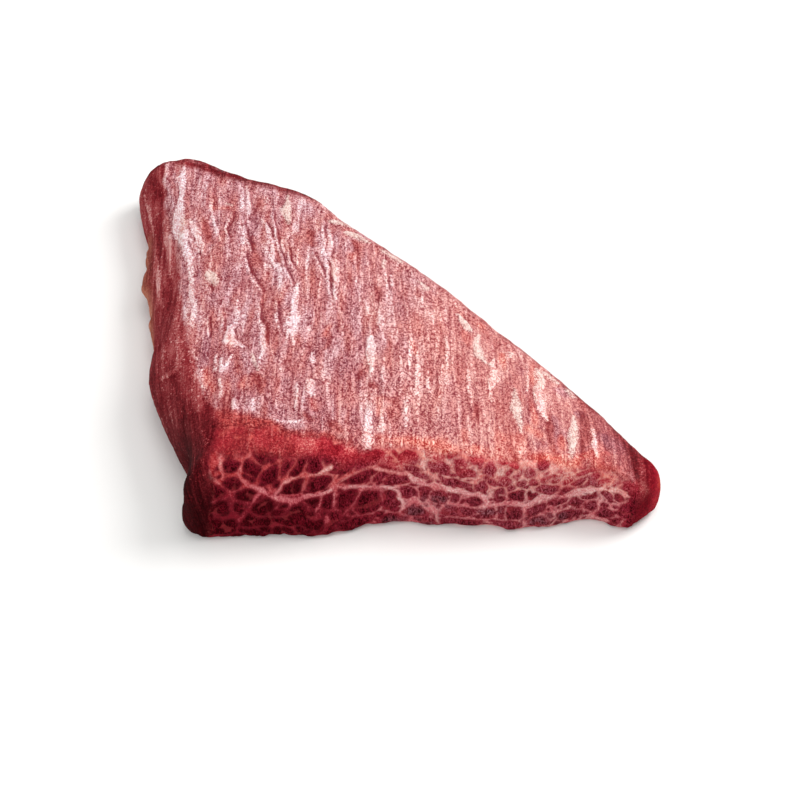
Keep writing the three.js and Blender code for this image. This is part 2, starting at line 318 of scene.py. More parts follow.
# Muscle bundles on the cut face, each x, z, half length, half width and slant in degrees.
BUNDLES = [
    (-43.5, 31, 3.3, 2, 20), (-47, 28, 3, 2.6, 0), (-53.5, 28.5, 2.5, 1.8, 0), (-39, 33, 3, 2, 0),
    (-41, 25.5, 5, 2.6, 40), (-36.5, 28, 4, 1.8, 60), (-32, 28.5, 4, 1.8, 55),
    (-33, 33, 3.2, 2, 10), (-27, 28.5, 3, 2.5, 40), (-21.5, 30, 2.8, 2, 0),
    (-26, 33.5, 3.5, 1.8, 0), (-53.5, 22.5, 3, 2.5, 0), (-49, 18.2, 4, 2.3, -5),
    (-58.5, 20, 3, 2.5, 0), (-47.5, 24, 2, 1.2, 0), (-43, 13.5, 4.3, 3, 20),
    (-38, 13.5, 2, 1.4, 10), (-57.5, 13.8, 3, 2.6, 0), (-52, 13.5, 2.6, 2, 0),
    (-33, 9.5, 6.5, 4, 25), (-48, 7, 4, 2.6, 0), (-42.5, 7, 3.5, 2.3, 30), (-58, 5, 5, 2.8, 0),
    (-34, 21.5, 4.8, 2.5, 15), (-26.5, 22, 4.5, 2.3, 12), (-23.5, 14.5, 3, 2.2, 60),
    (-28.6, 14, 3, 1.8, 60), (-28.5, 5.5, 4, 2.2, 0), (-21.5, 6.5, 3.4, 2.4, 70),
    (-38.5, 3, 4, 2, 0), (-33, 2.5, 4, 1.8, 0), (-47.5, 2.8, 4, 1.8, 0), (-18.6, 26.8, 3.6, 2, 5),
    (-15, 30.2, 4.5, 1.5, 5), (-9, 26.6, 4, 1.5, 8), (-12.5, 21.4, 4.6, 1.9, 5),
    (-7, 20.6, 2, 1.6, 0), (-1, 18.5, 4.2, 1.9, 0), (-3, 23.4, 3.4, 1.4, 0), (3, 26, 3.3, 2.2, 0),
    (3.5, 22.8, 3.3, 1.6, -15), (5.8, 20.2, 3.4, 1.2, -10), (11, 27.4, 3.4, 1.7, -20),
    (13, 23.8, 4.5, 2.2, -15), (20, 23, 4, 1.9, -15), (18.5, 18.6, 5, 1.5, -5),
    (16.5, 28, 1.8, 1.5, 0), (19, 26.2, 2.3, 1, 0), (25.6, 18, 2.6, 2, 20), (-17, 14.4, 3.6, 3, 60),
    (-9.5, 11, 5, 4, -8), (-3.2, 10.4, 3.4, 3.8, 0), (8, 13.5, 2.4, 2, 60),
    (12.6, 12.2, 3.4, 2.7, 0), (17, 12.8, 2.2, 1.9, 0), (2.8, 13, 3, 1.9, -30),
    (23.5, 12, 3, 1.9, 0), (19.5, 7.4, 6, 1.6, 8), (5.6, 5.4, 4.2, 1.9, 0), (19.5, 2.8, 7, 2, 0),
    (-14, 3.6, 6, 2.4, 5), (-3.5, 2.8, 4.5, 1.8, 0), (9, 2.4, 3.4, 2, 0), (28.8, 7.4, 3.2, 2.5, 30),
    (34, 20.5, 2.4, 1.9, 0), (39, 19.7, 1.6, 1.4, 0), (41.2, 23, 1.9, 1.6, 0),
    (37.5, 22.6, 1.3, .8, 20), (35.7, 25, 2.2, 1.1, 0), (32, 16.8, 1.9, 1.2, -15),
    (31.8, 13.9, 2.1, 1.1, 0), (38, 14.6, 3, 2.4, 0), (42.5, 14.1, 2.8, 1.5, -5),
    (47.3, 16.3, 3.8, 1.7, -10), (43, 19.2, 1.9, 1.2, 0), (46.8, 20, 2, .9, 10),
    (50, 19, 2.6, 1, 30), (54, 18.6, 2, 1.4, 25), (53.3, 14.9, 2.7, 1.2, 12),
    (57.7, 17.4, 3, 1.2, 30), (61.6, 18.2, 3, 1.5, 45), (64, 17.2, 2.4, .9, 50),
    (59, 20.4, 1.8, .8, 20), (69.5, 18.8, 2, 1, 10), (73, 18.8, 2.6, 1.4, 15),
    (66.6, 13, 2.1, 1.8, -40), (70.2, 13.2, 1.7, 1.5, 0), (61, 11.4, 2.8, 1.2, 10),
    (57, 9.5, 2.6, 1.9, -10), (50.6, 10.6, 3, 1.3, 0), (44, 8, 3.2, 2, 25),
    (36.4, 7.4, 3.2, 2.3, 0), (32.6, 7.6, 2.2, 2.2, 0), (62, 7.4, 1.8, 2, 0),
    (54.5, 4.5, 5.2, 1.8, 0), (45, 3.2, 4.4, 1.8, 5), (35, 2.6, 4.6, 1.8, 0),
    (66.5, 5, 3, 2.6, -20), (72, 8.4, 3.8, 2, 80), (46, 25.5, 2.4, 2.2, 60),
    (37, 27.4, 1.4, 1.4, 0), (72.5, 22, 2, 1.3, 15), (76, 22, 3, 1.6, 35), (75.6, 12, 3.4, 1.8, 85),
    (76, 6, 3, 1.8, 80), (69.6, 3, 2.6, 1.8, 0), (73.6, 2.6, 2.2, 1.6, 0), (77.8, 17, 2.6, 1.6, 80),
    (24, 27, 2.2, 1.2, -10), (29, 24, 2, 1.3, 0), (30, 20.4, 1.6, 1, 0),
]
# Finer bundles fill the gaps in rows. All their sizes are shares of the face's height there.
FINE_ROWS = [1, .92, .84, .76, .67, .58, .49, .4, .3, .2, .1, 0, 1.09, 1.18, 1.27]
FINE_SIZES = {"spacing": .12, "half_length": .066, "half_width": .046, "scatter": .03}
ROWS_START, ROWS_END = -86, 98
ROUNDNESS = 2.1  # 2 gives ellipses, and more gives fuller bundles
THIN_SEAM, THINNER_SEAM = .22, .1  # least depths of the seams round main and fine bundles


def bundle_rows(shares, spacing, half_length, half_width, scatter):
    """Rows of bundles across the whole face, like BUNDLES but at random: the upper rows of
    the thick end lie steep, the others lie flat on average."""
    rows = []
    for share in shares:
        at_x = ROWS_START + 9 * rng.random()
        while at_x < ROWS_END:
            height = crest_height(at_x)
            steep = smooth(5, -25, at_x) * (share > .4)
            slant = 48 * steep + 8 * (1 - steep) + (1 - .6 * steep) * 30 * rng.normal()
            size = rng.uniform(.6, 1.45)
            length = half_length * height * size * rng.uniform(.9, 1.25)
            width = half_width * height * size ** .5 * rng.uniform(.8, 1.15)
            centre_z = (share + scatter * rng.normal()) * height
            rows.append((at_x, centre_z, length, width, slant))
            at_x += spacing * height * size * rng.uniform(.8, 1.2) * (1 - .12 * steep)
    return rows


def bundles(at_x, at_z, rows):
    """How deep inside a bundle each point lies, in millimetres, negative in the seams, its
    distance to the common border with the next bundle, and the bundle's number. A bundle's
    own depth is its half width times 1 less the distance from its centre, counted in half
    axes. A point belongs to the bundle where its depth is greatest, and half the lead over
    the second bundle is its distance to their border."""
    best = np.full(at_x.shape, -99.0)
    second = best.copy()
    own = np.zeros(at_x.shape, int)
    for number, (cx, cz, length, width, slant) in enumerate(rows):
        dx, dz, slant = at_x - cx, at_z - cz, np.radians(slant)
        along = (dx * np.cos(slant) + dz * np.sin(slant)) / length
        across = (dz * np.cos(slant) - dx * np.sin(slant)) / width
        far = (np.abs(along) ** ROUNDNESS + np.abs(across) ** ROUNDNESS) ** (1 / ROUNDNESS)
        depth = (1 - far) * width
        leads = depth > best
        second = np.where(leads, best, np.maximum(second, depth))
        best = np.maximum(best, depth)
        own[leads] = number
    return best, (best - second) / 2, own


def stroke(at_a, at_b, points):
    """How deep inside a stroke each point lies, in millimetres, negative outside. A stroke
    runs through points with a width each: its half width, in line between two points, less
    the distance to its line."""
    best = np.full(at_a.shape, -9.0)
    for (a0, b0, w0), (a1, b1, w1) in zip(points, points[1:]):
        da, db = a1 - a0, b1 - b0
        t = np.clip(((at_a - a0) * da + (at_b - b0) * db) / (da * da + db * db), 0, 1)
        gap = np.hypot(at_a - a0 - t * da, at_b - b0 - t * db)
        best = np.maximum(best, (w0 + t * (w1 - w0)) / 2 - gap)
    return best


def strokes(features, at_a, at_b):
    """Depth inside the nearest of a set of strokes, in millimetres."""
    return np.maximum.reduce([stroke(at_a, at_b, points) for points in features])


# Thick seams of fat through the face: (x, z, width) along each.
LAMELLAE = [
    [(-51.5, 26, .6), (-50.2, 23.2, 1), (-47.5, 21.5, 1.8), (-44.8, 20, 2), (-42, 18, 1.6),
     (-40, 17.2, 1.8), (-37.3, 15.9, 2.2), (-34.5, 15.5, 2.2), (-32, 16.4, 1.6),
     (-29.2, 17.6, 2.2), (-26, 17.8, 2), (-23, 18.8, 1.8), (-20, 20.5, 1.4), (-17, 23, 1),
     (-12, 24.2, 1.2), (-8, 23.8, 1.4), (-5.3, 22.3, 1), (-2.5, 21.2, .8), (2, 20.4, 1.2),
     (4.2, 18.2, 3.2), (8, 16.8, 1.4), (11.5, 17.2, 1), (14.5, 16.4, 1.6), (17.8, 15.8, 2),
     (20.5, 15.2, 2), (24, 14.6, 1.4), (27.3, 13.8, 2), (29, 11.4, 1.6), (32.5, 11.2, 1.6),
     (36, 11.2, 1.2), (40.5, 10.8, 2), (43, 12, 2), (46, 13.3, 2), (49, 13.4, 1.4),
     (52, 12.8, 1.4), (55, 13.1, 2), (57.5, 14, 2.4), (61, 14, 2.4), (63.5, 14.6, 2),
     (65.5, 15.8, 1), (67, 17.4, 1.2), (69, 20, .8), (71.7, 20.6, .8), (76, 20.6, .8),
     (79.5, 23, .6)],
    [(-20, 19.6, 1.2), (-17.5, 18.8, .8), (-13.5, 17.8, .8), (-10.5, 17.7, 1.2),
     (-6.5, 16.5, 1.4), (-2.6, 15.4, 1.2), (-.4, 13, 1.4), (.8, 9.8, 1.8), (1.4, 7, 1.4),
     (0, 5, .6)],
    [(1.2, 8, 1.2), (3, 10, 1), (5, 11.2, 1.2), (7, 9.5, .6), (11, 9, .4)],
    [(7.6, 28.5, .8), (7.4, 24, .8), (8.4, 21.2, .9), (9.8, 19.8, 1), (13, 20.8, .6),
     (19.7, 20.8, .8), (24, 20.8, .8), (28, 20.8, .8)],
    [(-45, 19, 1), (-47.5, 13.4, .8), (-50, 10.5, .7), (-51.6, 9, .8), (-52.4, 7.4, 1.8)],
    [(-34.8, 15, .8), (-36, 12, .8), (-37.5, 9.8, .4)],
    [(-25, 17.5, .8), (-26.6, 13, .8), (-27.2, 9.8, .4)],
    [(-21.3, 17, 1), (-21.3, 14, 2), (-21.2, 12, 1.2)], [(-23.4, 8.6, 1), (-23.8, 6.4, 1.6)],
    [(-40, 18, 1), (-37, 22.5, .8), (-34.3, 24.6, 1), (-31, 24.6, .6), (-28.5, 24.8, 1),
     (-24.5, 26, 1.2), (-22, 27, 1)],
    [(-51, 27, .8), (-50.4, 30, .6), (-47.5, 31.4, .6), (-44, 34, .5)],
    [(-60.4, 30, 1.2), (-59.8, 26, 2.2), (-57.4, 23.5, 1.2)],
    [(-57, 32, .8), (-56.3, 28, 1.2), (-56, 25, 1)],
    [(68, 16, 1), (70, 15.8, 1.4), (72.5, 15.6, 2.2), (75.5, 15.2, 1.4)],
    [(49, 9, 1.4), (49.3, 7, 1.2), (49.8, 4, .6)], [(40.4, 10, 1.4), (40, 6, .8), (40, 1.5, .6)],
    [(16, 10.2, 1.2), (20, 9.6, 1), (24, 9.2, 1), (27, 9.6, 1)],
    [(64.4, 12, .8), (64.2, 9, .8), (63.8, 5, .5)], [(15, 4.8, .8), (24, 5.2, .8), (27, 4, .5)],
    [(64.5, 1.8, 1), (66, 1.4, 2.2), (67.5, 1.6, 1)],
]

# Bundles are drawn on X and Z, for the points on and near the cut face. Past the crest Z
# counts on up over the edge of the top. Both are bent a little by noise.
near = (cut > 0) | (down[FRONT] > .02)
wx, wy, wz = x[near], y[near], (z + .75 * np.maximum(from_crest + 3, 0))[near]
bend = .7 * noise(wx / 5, wy / 40, wz / 5, 1) + .55 * noise(wx / 2.2, wy / 9, wz / 2.2, 2)
lift = .6 * noise(wx / 5, wy / 40, wz / 5, 3) + .5 * noise(wx / 2.2, wy / 9, wz / 2.2, 4)
wx, wz = wx + bend, wz + lift
inside, to_border, own = bundles(wx, wz, BUNDLES)
soft_seams = smooth(-8, -22, wx) * smooth(14, 20, wz)
grown = .5 - .35 * smooth(-15, 12, wx) - .25 * soft_seams + .3 * noise(wx / 7, wz / 5, 0, 5)
inside = np.minimum(inside + grown, to_border - THIN_SEAM)
fine_rows = bundle_rows(FINE_ROWS, **FINE_SIZES)
fine_inside, fine_border, fine_own = bundles(wx, wz, fine_rows)
fine_inside = np.minimum(fine_inside, fine_border - THINNER_SEAM)
lamella = strokes(LAMELLAE, wx, wz) - .05 + .45 * noise(wx / 3, wz / 3, 0, 6)
# Depth inside the meat on this side of any seam, in millimetres, negative in the fat, and
# the same for the fine bundles alone; then each bundle's tone, and the share of thick seam.
seam, fine_seam = np.full(x.shape, 2.0), np.full(x.shape, 2.0)
tone, fat_seam = np.full(x.shape, .5), np.zeros(x.shape)
low_left = smooth(13, 5, wz) * smooth(-8, -35, wx)
filled = np.maximum(inside, fine_inside - .2 - .2 * soft_seams + .45 * low_left)
seam[near] = np.minimum(filled, -lamella)
seam += 2.5 * smooth(-59, -64, x) + 2.2 * smooth(72, 77, x) + .6 * band * smooth(5, -20, x)
fine_seam[near] = fine_inside + .5
tone[near] = .6 * rng.random(own.max() + 1)[own] + .4 * rng.random(fine_own.max() + 1)[fine_own]
fat_seam[near] = smooth(-.6, 1, lamella)


# ---------------------------------------------------------------- streaks on top and flank

# Features of the top: (x, y, width) along each. The white strokes are torn silverskin over the fibres
# and, in part, painted wet sheen, the whitish highlight of the moist top; beside each crease a strip
# of it is lifted up.
SILVERSKIN_AND_SHEEN = [
    [(-80, 100, 1), (-80.5, 95, 2), (-80.5, 88, 2.8), (-80, 81, 2), (-80, 75, 2.6),
     (-80, 69, 4.4), (-79.3, 63, 5.4), (-77.5, 58, 4.6), (-76, 52, 2.6), (-74.2, 46, 2.8),
     (-73, 38, 2.2), (-72.2, 31, 2), (-71.5, 24, 2.2), (-70, 16, 2.4), (-69.8, 8, 1)],
    [(-76, 66, 1.4), (-73.8, 61, 2.6), (-71.7, 56, 2.4), (-70, 51, 2), (-69, 46, 1)],
    [(-87, 98, 1.6), (-86.7, 92, 1.6), (-86.3, 83, .6)],
    [(-42.3, 57, .6), (-42, 53, 1.4), (-41, 47, .8)],
    [(-68.5, 78, .6), (-68.3, 73, 1.4), (-67, 66, 1.2), (-65, 58, 1.2), (-64.5, 52, .4)],
    [(-58, 87, .6), (-57.8, 80, 1.2), (-57.3, 72, 1.2)],
    [(-56, 88, .8), (-55.6, 80, 1.6), (-55, 70, 1.4)],
    [(-49, 69, .5), (-48, 61, 1), (-46, 54, 1.4), (-45, 47, 1.8), (-44.5, 42, 1.2),
     (-42.5, 38.5, 2.2), (-40.5, 35, .6)],
    [(-35.5, 30, 1), (-35.5, 24, 2.4), (-36, 17, 2.6), (-35.5, 11, 4), (-36, 5, 2.6),
     (-35.5, -2, 1)],
    [(-25, 62, 1), (-25, 54, 1.8), (-24.8, 46, 2.2), (-24, 42, 1), (-22.6, 37, 3.2),
     (-22, 32, 2.6), (-23, 27, .8), (-22, 21, 1)],
    [(-56, 21, .6), (-55.5, 15, 1.4), (-55.5, 10, 1), (-57, 6, 2.6), (-57, 0, 4),
     (-52.5, -2.5, 1.6)],
    [(-61.4, -6, .8), (-61, -14, 1.4)],
    [(-59.5, -9, 1.2), (-58.8, -15, 1.6), (-57, -12, 1.4), (-56, -7, .8)],
    [(-46.8, 8, .8), (-46.3, 2, 1.6), (-45.5, -3, 2.4), (-46, -8, 1), (-46.5, -14, .5)],
    [(-40, -38.5, .8), (-36, -39.5, 1.6), (-31, -39, 1)], [(-58.8, -19, 1.2), (-58, -28, 1.2)],
    [(-53.8, -29, 1.2), (-53.6, -33, 1.4)], [(-47.5, -29, 1.4), (-47.3, -34, 1.2)],
    [(-33.5, -21, .8), (-33.5, -27, 1.4), (-33.6, -34, 1)], [(-29, -20, 2.4), (-29, -26, 3)],
    [(-29, -5, 1), (-29, -9, 2.2)], [(-12.2, 23, .8), (-11, 15, 1.4)], [(-7, 18, .8), (-7, 9, 1.4)],
    [(-9.6, 4, 1.6), (-9.6, -3, 3.4), (-10, -9, 2.6), (-9.6, -14, .8)],
    [(-10.2, -28, .8), (-10.4, -36, 2.2), (-10.8, -42, 3), (-10.6, -47, 2.4)],
    [(-6, -31, .5), (-6, -35, 1.4), (-6.2, -40, 2.8)],
    [(6, -3, .6), (6, -9, 1.4), (6, -16, 1.8), (5.4, -23, .8)],
    [(15.8, 6, .8), (15.6, -2, 1.4), (15.4, -10, .8), (15.4, -17, 1)],
    [(23, -9, .8), (22.8, -14, 1.6), (22.4, -20, .8)], [(8, 28, .6), (7.8, 22, 1)],
    [(-2.8, 40, .8), (-2.4, 33, 1)],
    [(32, -1, 1), (31.8, -7, 2.6), (31.4, -13, 3.4), (30.4, -18, 1.6), (30.2, -23, 1.2)],
    [(42.8, -1, .6), (42.6, -8, 1.2), (42, -18, .8)],
    [(46.5, -13, 3), (46, -19, 3.6), (46.2, -25, 3.8), (48, -30, 1.2)],
    [(63, -32, 1.6), (63, -40, 2.4), (63.5, -45, 1)], [(3, -23, .6), (2.2, -30, 1.2), (2, -38, .8)],
    [(9.4, -15, .8), (9.2, -22, 1)],
]
SOFT_FAT = [
    [(-41, 84, 1), (-41, 78, 1.8), (-41.5, 74, 4), (-40.6, 70, 2.2), (-40.3, 65, .8)],
    [(-66.5, 35, 2.4), (-65.4, 33, 3.8), (-63.6, 29.5, 2.6)], [(-63, 75.5, .8), (-61, 75, .6)],
    [(-24.6, 69.5, 2.6), (-20, 68.6, 2), (-17, 67, .8)],
    [(-19, 63, 2.6), (-15, 61.5, 2.6), (-11, 59, 1.4)], [(-6, 55.5, 2), (-2, 53, 2.6), (1, 50, 1)],
    [(-5.3, 50, 1), (-5.4, 44, .8)], [(7, 38.5, 1.6), (9, 36, 2.4), (8, 33, 1)],
    [(20, 22, 1.4), (22, 18, 2.6), (24, 14, 2.4)],
    [(27, 12, .6), (26.5, 6, 2), (26.6, 0, 4), (29, -4, 1), (31, -5, .8)],
    [(37.5, 4, 1.8), (37.6, 1, .8)], [(46.6, -3, 2.2), (47.2, -9, 2.6), (46.6, -13, 2.4)],
    [(49, -4, 1.6), (53, -8, 1.8)], [(57, -11, 2.4), (58, -14, 1.6)],
    [(38.2, -17, .8), (37.8, -23, 2.4), (38, -27, 3.6), (39, -33, 1.6), (39.4, -37, .5)],
    [(57, -26, 1), (56.5, -33, 2.6), (55.5, -40, 2.8), (55, -46, 1.2)],
    [(45, -5, .5), (44.6, -13, .5), (44.4, -22, .4)],
    [(-48.8, -7, .8), (-48, -11, 1.2), (-46.4, -15, .8)],
]
DEEP_RED = [
    [(-71, 66, 1.2), (-69, 60, 3), (-67, 52, 1)], [(-45, 52, .6), (-43.3, 48, 1.6), (-42.8, 42, 1)],
    [(-52.5, 57, 1.4), (-52, 51, 1.8)], [(-32, 60, 3), (-31, 52, 2)],
    [(-16.5, 58, 3), (-15, 50, 1)], [(-7.5, 31, 2), (-7, 27, 2.6), (-7, 23, 1)],
    [(6, 33, 1), (6.4, 29, 2.4)], [(-23, 5, .8), (-24, 0, 1.8), (-24.5, -3, .6)],
    [(-13, -13, 1.4), (-13.4, -17, 1.6)], [(-8.6, -20, 2), (-7.6, -21, 1.6)],
    [(-5, -26, 1.6), (-2, -27, 1.8)], [(-3.6, -31, 2), (-3, -33, 1.6)],
    [(-47.5, -17, 2.4), (-45.5, -21, 3), (-45.3, -26, 1.4)],
    [(-44.8, 9, .5), (-44.6, 3, 1.2), (-44, -1, .6)],
    [(25, -26, 2.4), (25.5, -30, 2.6), (26, -34, 1)],
    [(48.6, -28, 1), (48.8, -34, 1.8), (48.6, -40, 1)],
    [(60, -22, 1.6), (60.4, -30, 1.8), (59.4, -38, 2.4), (58.4, -45, 1.4)],
    [(45, -46, 2), (45.5, -49, 3)], [(36.5, -47, 1.4), (36.8, -50, 1.8)],
    [(-30, -36, 2), (-28, -38, 2)], [(-22, -39, 2), (-19, -42, 2)],
]
# Creases: lines pressed into the top and darkened with painted shade.
CREASES = [
    [(-56.3, 62.4, .3), (-53.3, 55.9, .8), (-54.3, 52.2, .6), (-51.5, 47.7, .3)],
    [(-48.8, 67.8, .3), (-46, 60.5, .7), (-46, 48, .7), (-43, 39.5, .3)],
    [(-45, 70.8, .3), (-42.9, 53.5, .6), (-39.6, 39.8, .6), (-36.4, 28.5, .3)],
    [(-39.5, 56.6, .3), (-37.8, 42.6, .7), (-35, 36.4, .3)],
    [(-54.3, 46.8, .3), (-52.4, 39, .6), (-48.6, 30, .8), (-46.5, 25.7, .3)],
    [(-27, 65, .3), (-25.7, 49.6, .8), (-23.7, 37.2, .4)],
    [(-30, 47.6, .3), (-26.4, 36.9, .6), (-25.6, 33.4, .3)],
    [(-47.2, 20.9, .3), (-45.9, 7.8, .7), (-43.8, .5, .4)],
    [(-37, 13, .3), (-36.5, 5.4, .8), (-36.6, .6, .3)], [(-59.5, 13.5, .3), (-58.6, 5.7, .7)],
    [(-63.9, 12.8, .5), (-63.6, 3.2, .4)], [(-59.6, 70.5, .3), (-61.2, 59.9, .6), (-60, 52.8, .3)],
    [(-41.6, 19.6, .6), (-40.3, 5.9, .4)],
    [(-75.7, 56.5, .4), (-73, 55, .9), (-70.5, 51, .8), (-70, 46, .3)],
    [(-55.5, 66, .4), (-54.5, 61, .7), (-52.5, 52, .6), (-52, 48, .3)],
    [(-57.3, 64.5, .3), (-56, 62, .6), (-54, 55, .3)],
    [(-53, 40, .3), (-51.5, 35, .7), (-49, 29, .6), (-47, 25.5, .3)],
    [(-45, 41, .3), (-44.2, 39, .8)], [(-44.9, 9, .3), (-44.6, 2, .9), (-43.5, -1, .3)],
    [(-25.4, 57, .3), (-25.4, 49, .6), (-25, 42, .9), (-23.8, 33, .7), (-23, 22, .4)],
    [(-63.5, 34.5, .3), (-61.7, 31, .8)], [(-66, 29, .4), (-64, 26.5, .9)],
    [(-3.2, 40, .3), (-3.2, 32, .7)],
]
ORANGE_SPOTS = [
    [(-67.3, 73, .8), (-62, 73.2, 1)], [(-64.5, -13, 2), (-62.5, -19, 3.4), (-61, -24, 1.6)],
    [(-23.6, 8, 1), (-25, 4, 1.6)], [(-6.4, -26, 1), (-6.6, -33, 1.6)],
    [(-28.6, -29, 1.2), (-27.6, -33, 1.6)], [(4, 1, 1.4), (5, -3, 2)], [(42, -35, 3), (45, -37, 3)],
    [(-17, 49, 1.6), (-16.6, 46, 1)], [(-50, -18, 1), (-51.5, -22, 3)],
    [(-8, -43, 1), (-2, -45, 2)],
]
# Dark maroon skin along the edges of the top.
MAROON = [
    [(-87, 101, 3), (-74, 98, 4.5), (-65, 94.5, 6), (-55, 91.5, 3.5), (-46, 88.5, 2.5),
     (-38, 84, 2)],
    [(-6, 59.5, .2), (0, 53.4, .3), (34, 16.4, .3), (58, -10.5, .4)],
    [(58, -10, .4), (66, -20, 1), (71, -29, 3), (75, -36, 6), (79, -43, 12), (80, -48, 14)],
]
# Pale and dark streaks of the flank: (y, z, width) along each.
PALE_ON_FLANK = [
    [(70, 19.5, .8), (59, 20.2, 1.6), (49, 20.8, 1.4), (39, 21.5, .6)],
    [(59, 16.4, .8), (51, 16.7, 1.8), (45, 17, 2.2), (35, 17.6, 2), (26, 18.9, 1)],
    [(16, 24, .5), (9, 25.4, 1), (2, 26.6, .6)], [(4, 22.6, .6), (0, 22, 1.2), (-4, 21.6, .5)],
    [(12, 24.8, .6), (1, 26.3, 1), (-4, 26.7, 1.6), (-9.8, 25.6, 2.2), (-10, 23.6, 2.2),
     (-9, 20.4, 1)],
    [(-3, 28, .6), (-12, 29, 1), (-20, 29.5, 1.2), (-26, 29.8, 1.8), (-31, 30, 2)],
    [(-18, 20, .6), (-23, 19.5, 1.4), (-28, 19, .8)], [(-40, 30, .4), (-48, 31.6, .5)],
    [(-40, 18, .4), (-47, 20, .5), (-56, 24.3, .4)], [(90, 14, .6), (78, 15, 1.4), (66, 15.5, .6)],
    [(30, 6, .6), (15, 8, 1.4), (0, 8, .8)], [(-5, 12, .6), (-20, 12, 1.2), (-32, 12, .6)],
]
DARK_ON_FLANK = [
    [(76, 18, 1), (64, 17.5, 1.6), (55, 18.6, 2), (42, 20.7, 1.8), (32, 21.4, 1.6)],
    [(34, 19.8, 3), (22, 22, 5), (9, 24, 5), (3, 24, 3)],
    [(95, 18, 3), (80, 19, 2.6), (70, 18.5, 1)], [(80, 8, 2), (60, 9, 3), (44, 12, 2)],
    [(-6, 24, 2), (-16, 24, 4), (-30, 25, 4)],
]

# Dry, dusty patches of the cut face: (x, z, width) along each.
DUSTY_ON_CUT = [
    [(2, 5, 6), (8, 8.5, 7), (14, 10, 6)], [(-4, 2, 3), (10, 2, 3)], [(40, 5, 4), (52, 4, 5)],
    [(26, 8, 4), (32, 9, 3)],
]
BESIDE_CREASE = 1.1  # from a crease to the strip of silverskin on its left

# Noises drawn out along the grain, which sways, and bent coordinates for the streaks.
sway = u + 2.0 * noise(u / 14, v / 33, 0, 21) + .6 * noise(u / 5, v / 13, 0, 22)
coarse = noise(sway / 6, v / 50, 0, 23)
middle = noise(sway / 2.6, v / 26, 0, 24)
fine = noise(sway / 1.4, v / 13, 0, 25)
patchy = noise(u / 9, v / 9, 0, 26)
ridges = noise(sway / 3.6, v / 32, 0, 39)
bent_x = x + .45 * noise(x / 5, y / 6, 0, 27) + .3 * noise(x / 2, y / 3, 0, 28)
bent_z = z + .5 * noise(y / 8, z / 3, 0, 51)


# How deep inside the white of silverskin and painted wet sheen, and inside soft fat, each point lies,
# in millimetres, and masks of the other features.
silverskin_and_sheen = np.maximum(strokes(SILVERSKIN_AND_SHEEN, bent_x, y),
                  np.where(flank > 0, strokes(PALE_ON_FLANK, y, bent_z), -9))
silverskin_and_sheen = np.maximum(silverskin_and_sheen, strokes(CREASES, bent_x + BESIDE_CREASE, y) + .1)
silverskin_and_sheen -= .12 * smooth(20, 50, x)
# painted sheen: whitish patches at random, more on the crests of the ridges, as painted highlights
silverskin_and_sheen = np.maximum(silverskin_and_sheen, .85 * fine + .65 * middle + .3 * ridges - 1.3
                  - .5 * smooth(-14, -2, past_edge) - .5 * smooth(50, 66, x))
fat = strokes(SOFT_FAT, bent_x, y)
deep = smooth(-.9, .9, strokes(DEEP_RED, bent_x, y))
# painted shade in the creases
crease_and_shade = smooth(-.35, .2, strokes(CREASES, bent_x, y))
rim = np.maximum(rim, smooth(-2, 1.6, strokes(MAROON, bent_x, y) + .8 * middle) * (1 - cut))
dark_skin = flank * smooth(-1, 1.2, strokes(DARK_ON_FLANK, y, bent_z))
orange = .6 * smooth(-1.6, 1.4, strokes(ORANGE_SPOTS, bent_x, y))
orange = np.maximum(orange, .85 * smooth(5, -1, from_crest + 3 * ragged) * smooth(-25, 15, x)
                    * smooth(74, 64, x) * (.75 + .5 * noise(x / 4, y / 4, 0, 52)))
orange = np.maximum(orange, .55 * smooth(.2, .75, noise(sway / 3.5, v / 10, 0, 56))
                    * smooth(5, 35, x))
# How light the top is, and how far its hue leans from lilac to peach and to rose. The light holds
# painted shade, darker in the creases and in the valleys between the ridges.
light = (.43 + .03 * coarse + .035 * middle + .035 * fine + .045 * patchy - .10 * reddened
         - .07 * smooth(8, -15, y) * smooth(0, -30, x) - .26 * deep - .55 * crease_and_shade
         - .10 * smooth(-.2, -.7, ridges) * smooth(30, -30, x) - .20 * smooth(52, 66, x)
         + .015 * smooth(20, 45, x))
bruised = smooth(.15, .6, noise(x / 5, y / 6, 0, 57)) * smooth(36, 50, x)
light -= .07 * bruised
peach = smooth(-.7, .75, (x + 5) / 60 + .35 * patchy - y / 260) * (1 - .9 * bruised)
rosy = np.clip(.44 + .45 * noise(sway / 3, v / 11, 0, 29) + .3 * noise(sway / 1.6, v / 7, 0, 30)
               + .5 * deep, 0, 1)


# ---------------------------------------------------------------- relief

# How far the skin is pushed out, in millimetres: the swell and the grain of the top, films
# and fat that stand up, bundles that bulge, and the loose flange low on the flank.
FLANGE_HEIGHT = 9.5
swell = .6 * noise(u / 15, v / 42, 0, 31) + .35 * noise(sway / 6, v / 30, 0, 32) - .15
relief = swell * (1 - cut) * (1 - .7 * rim)
relief += (.20 * middle + .12 * fine - .25 * crease_and_shade - .12 * deep) * (1 - cut) * (1 - .5 * rim)
relief += .22 * ridges * smooth(40, -40, x) * (1 - cut) * (1 - .6 * flank)
relief += (.3 * smooth(-.5, .5, silverskin_and_sheen) + .35 * smooth(-.5, .6, fat)) * (1 - cut)
bulge = .5 * smooth(-.3, 1.3, seam) - .25 + .25 * noise(x / 6, z / 6, 0, 33)
relief += cut * (1 - .6 * band) * bulge
relief += .10 * noise(x / 1.3, y / 1.8, z / 1.3, 34)
foot = facing * smooth(9, 0, z)
relief += (.8 * noise(x / 9, 0 * x, 0, 35) + .4 * noise(x / 3.5, 0 * x, 0, 36)) * foot
